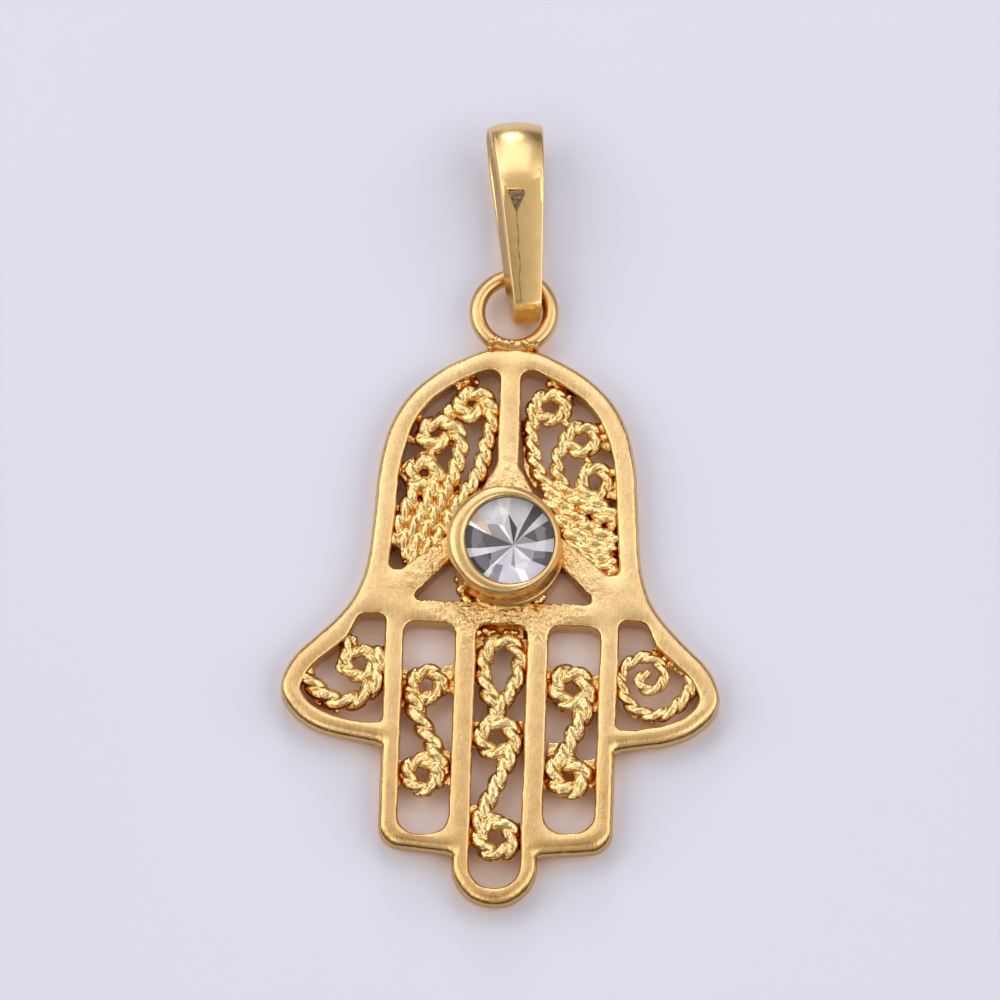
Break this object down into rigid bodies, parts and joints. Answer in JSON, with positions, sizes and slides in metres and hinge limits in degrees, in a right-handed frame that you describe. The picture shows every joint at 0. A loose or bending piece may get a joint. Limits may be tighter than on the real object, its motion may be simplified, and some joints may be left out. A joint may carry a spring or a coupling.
{
  "type": "hamsa pendant",
  "caption": "Flat cast hand charm with pierced twisted-wire filigree, a round faceted stone in a raised cup, a soldered ring and a loose tapered bail for a chain.",
  "frame": {"origin": "on the hand's flat back, under the middle of the stone", "axes": "+Z out of the front, +Y from the fingers towards the ring and bail, +X to the right seen from the front"},
  "size_m": [0.0176, 0.0327, 0.0031],
  "materials": {
    "gold": "gold plated, satin with bright edges",
    "crystal": "clear faceted crystal with a foiled back"
  },
  "bodies": {
    "root": {"hand": "gold", "stone": "crystal", "bail": "gold"}
  },
  "joints": []
}
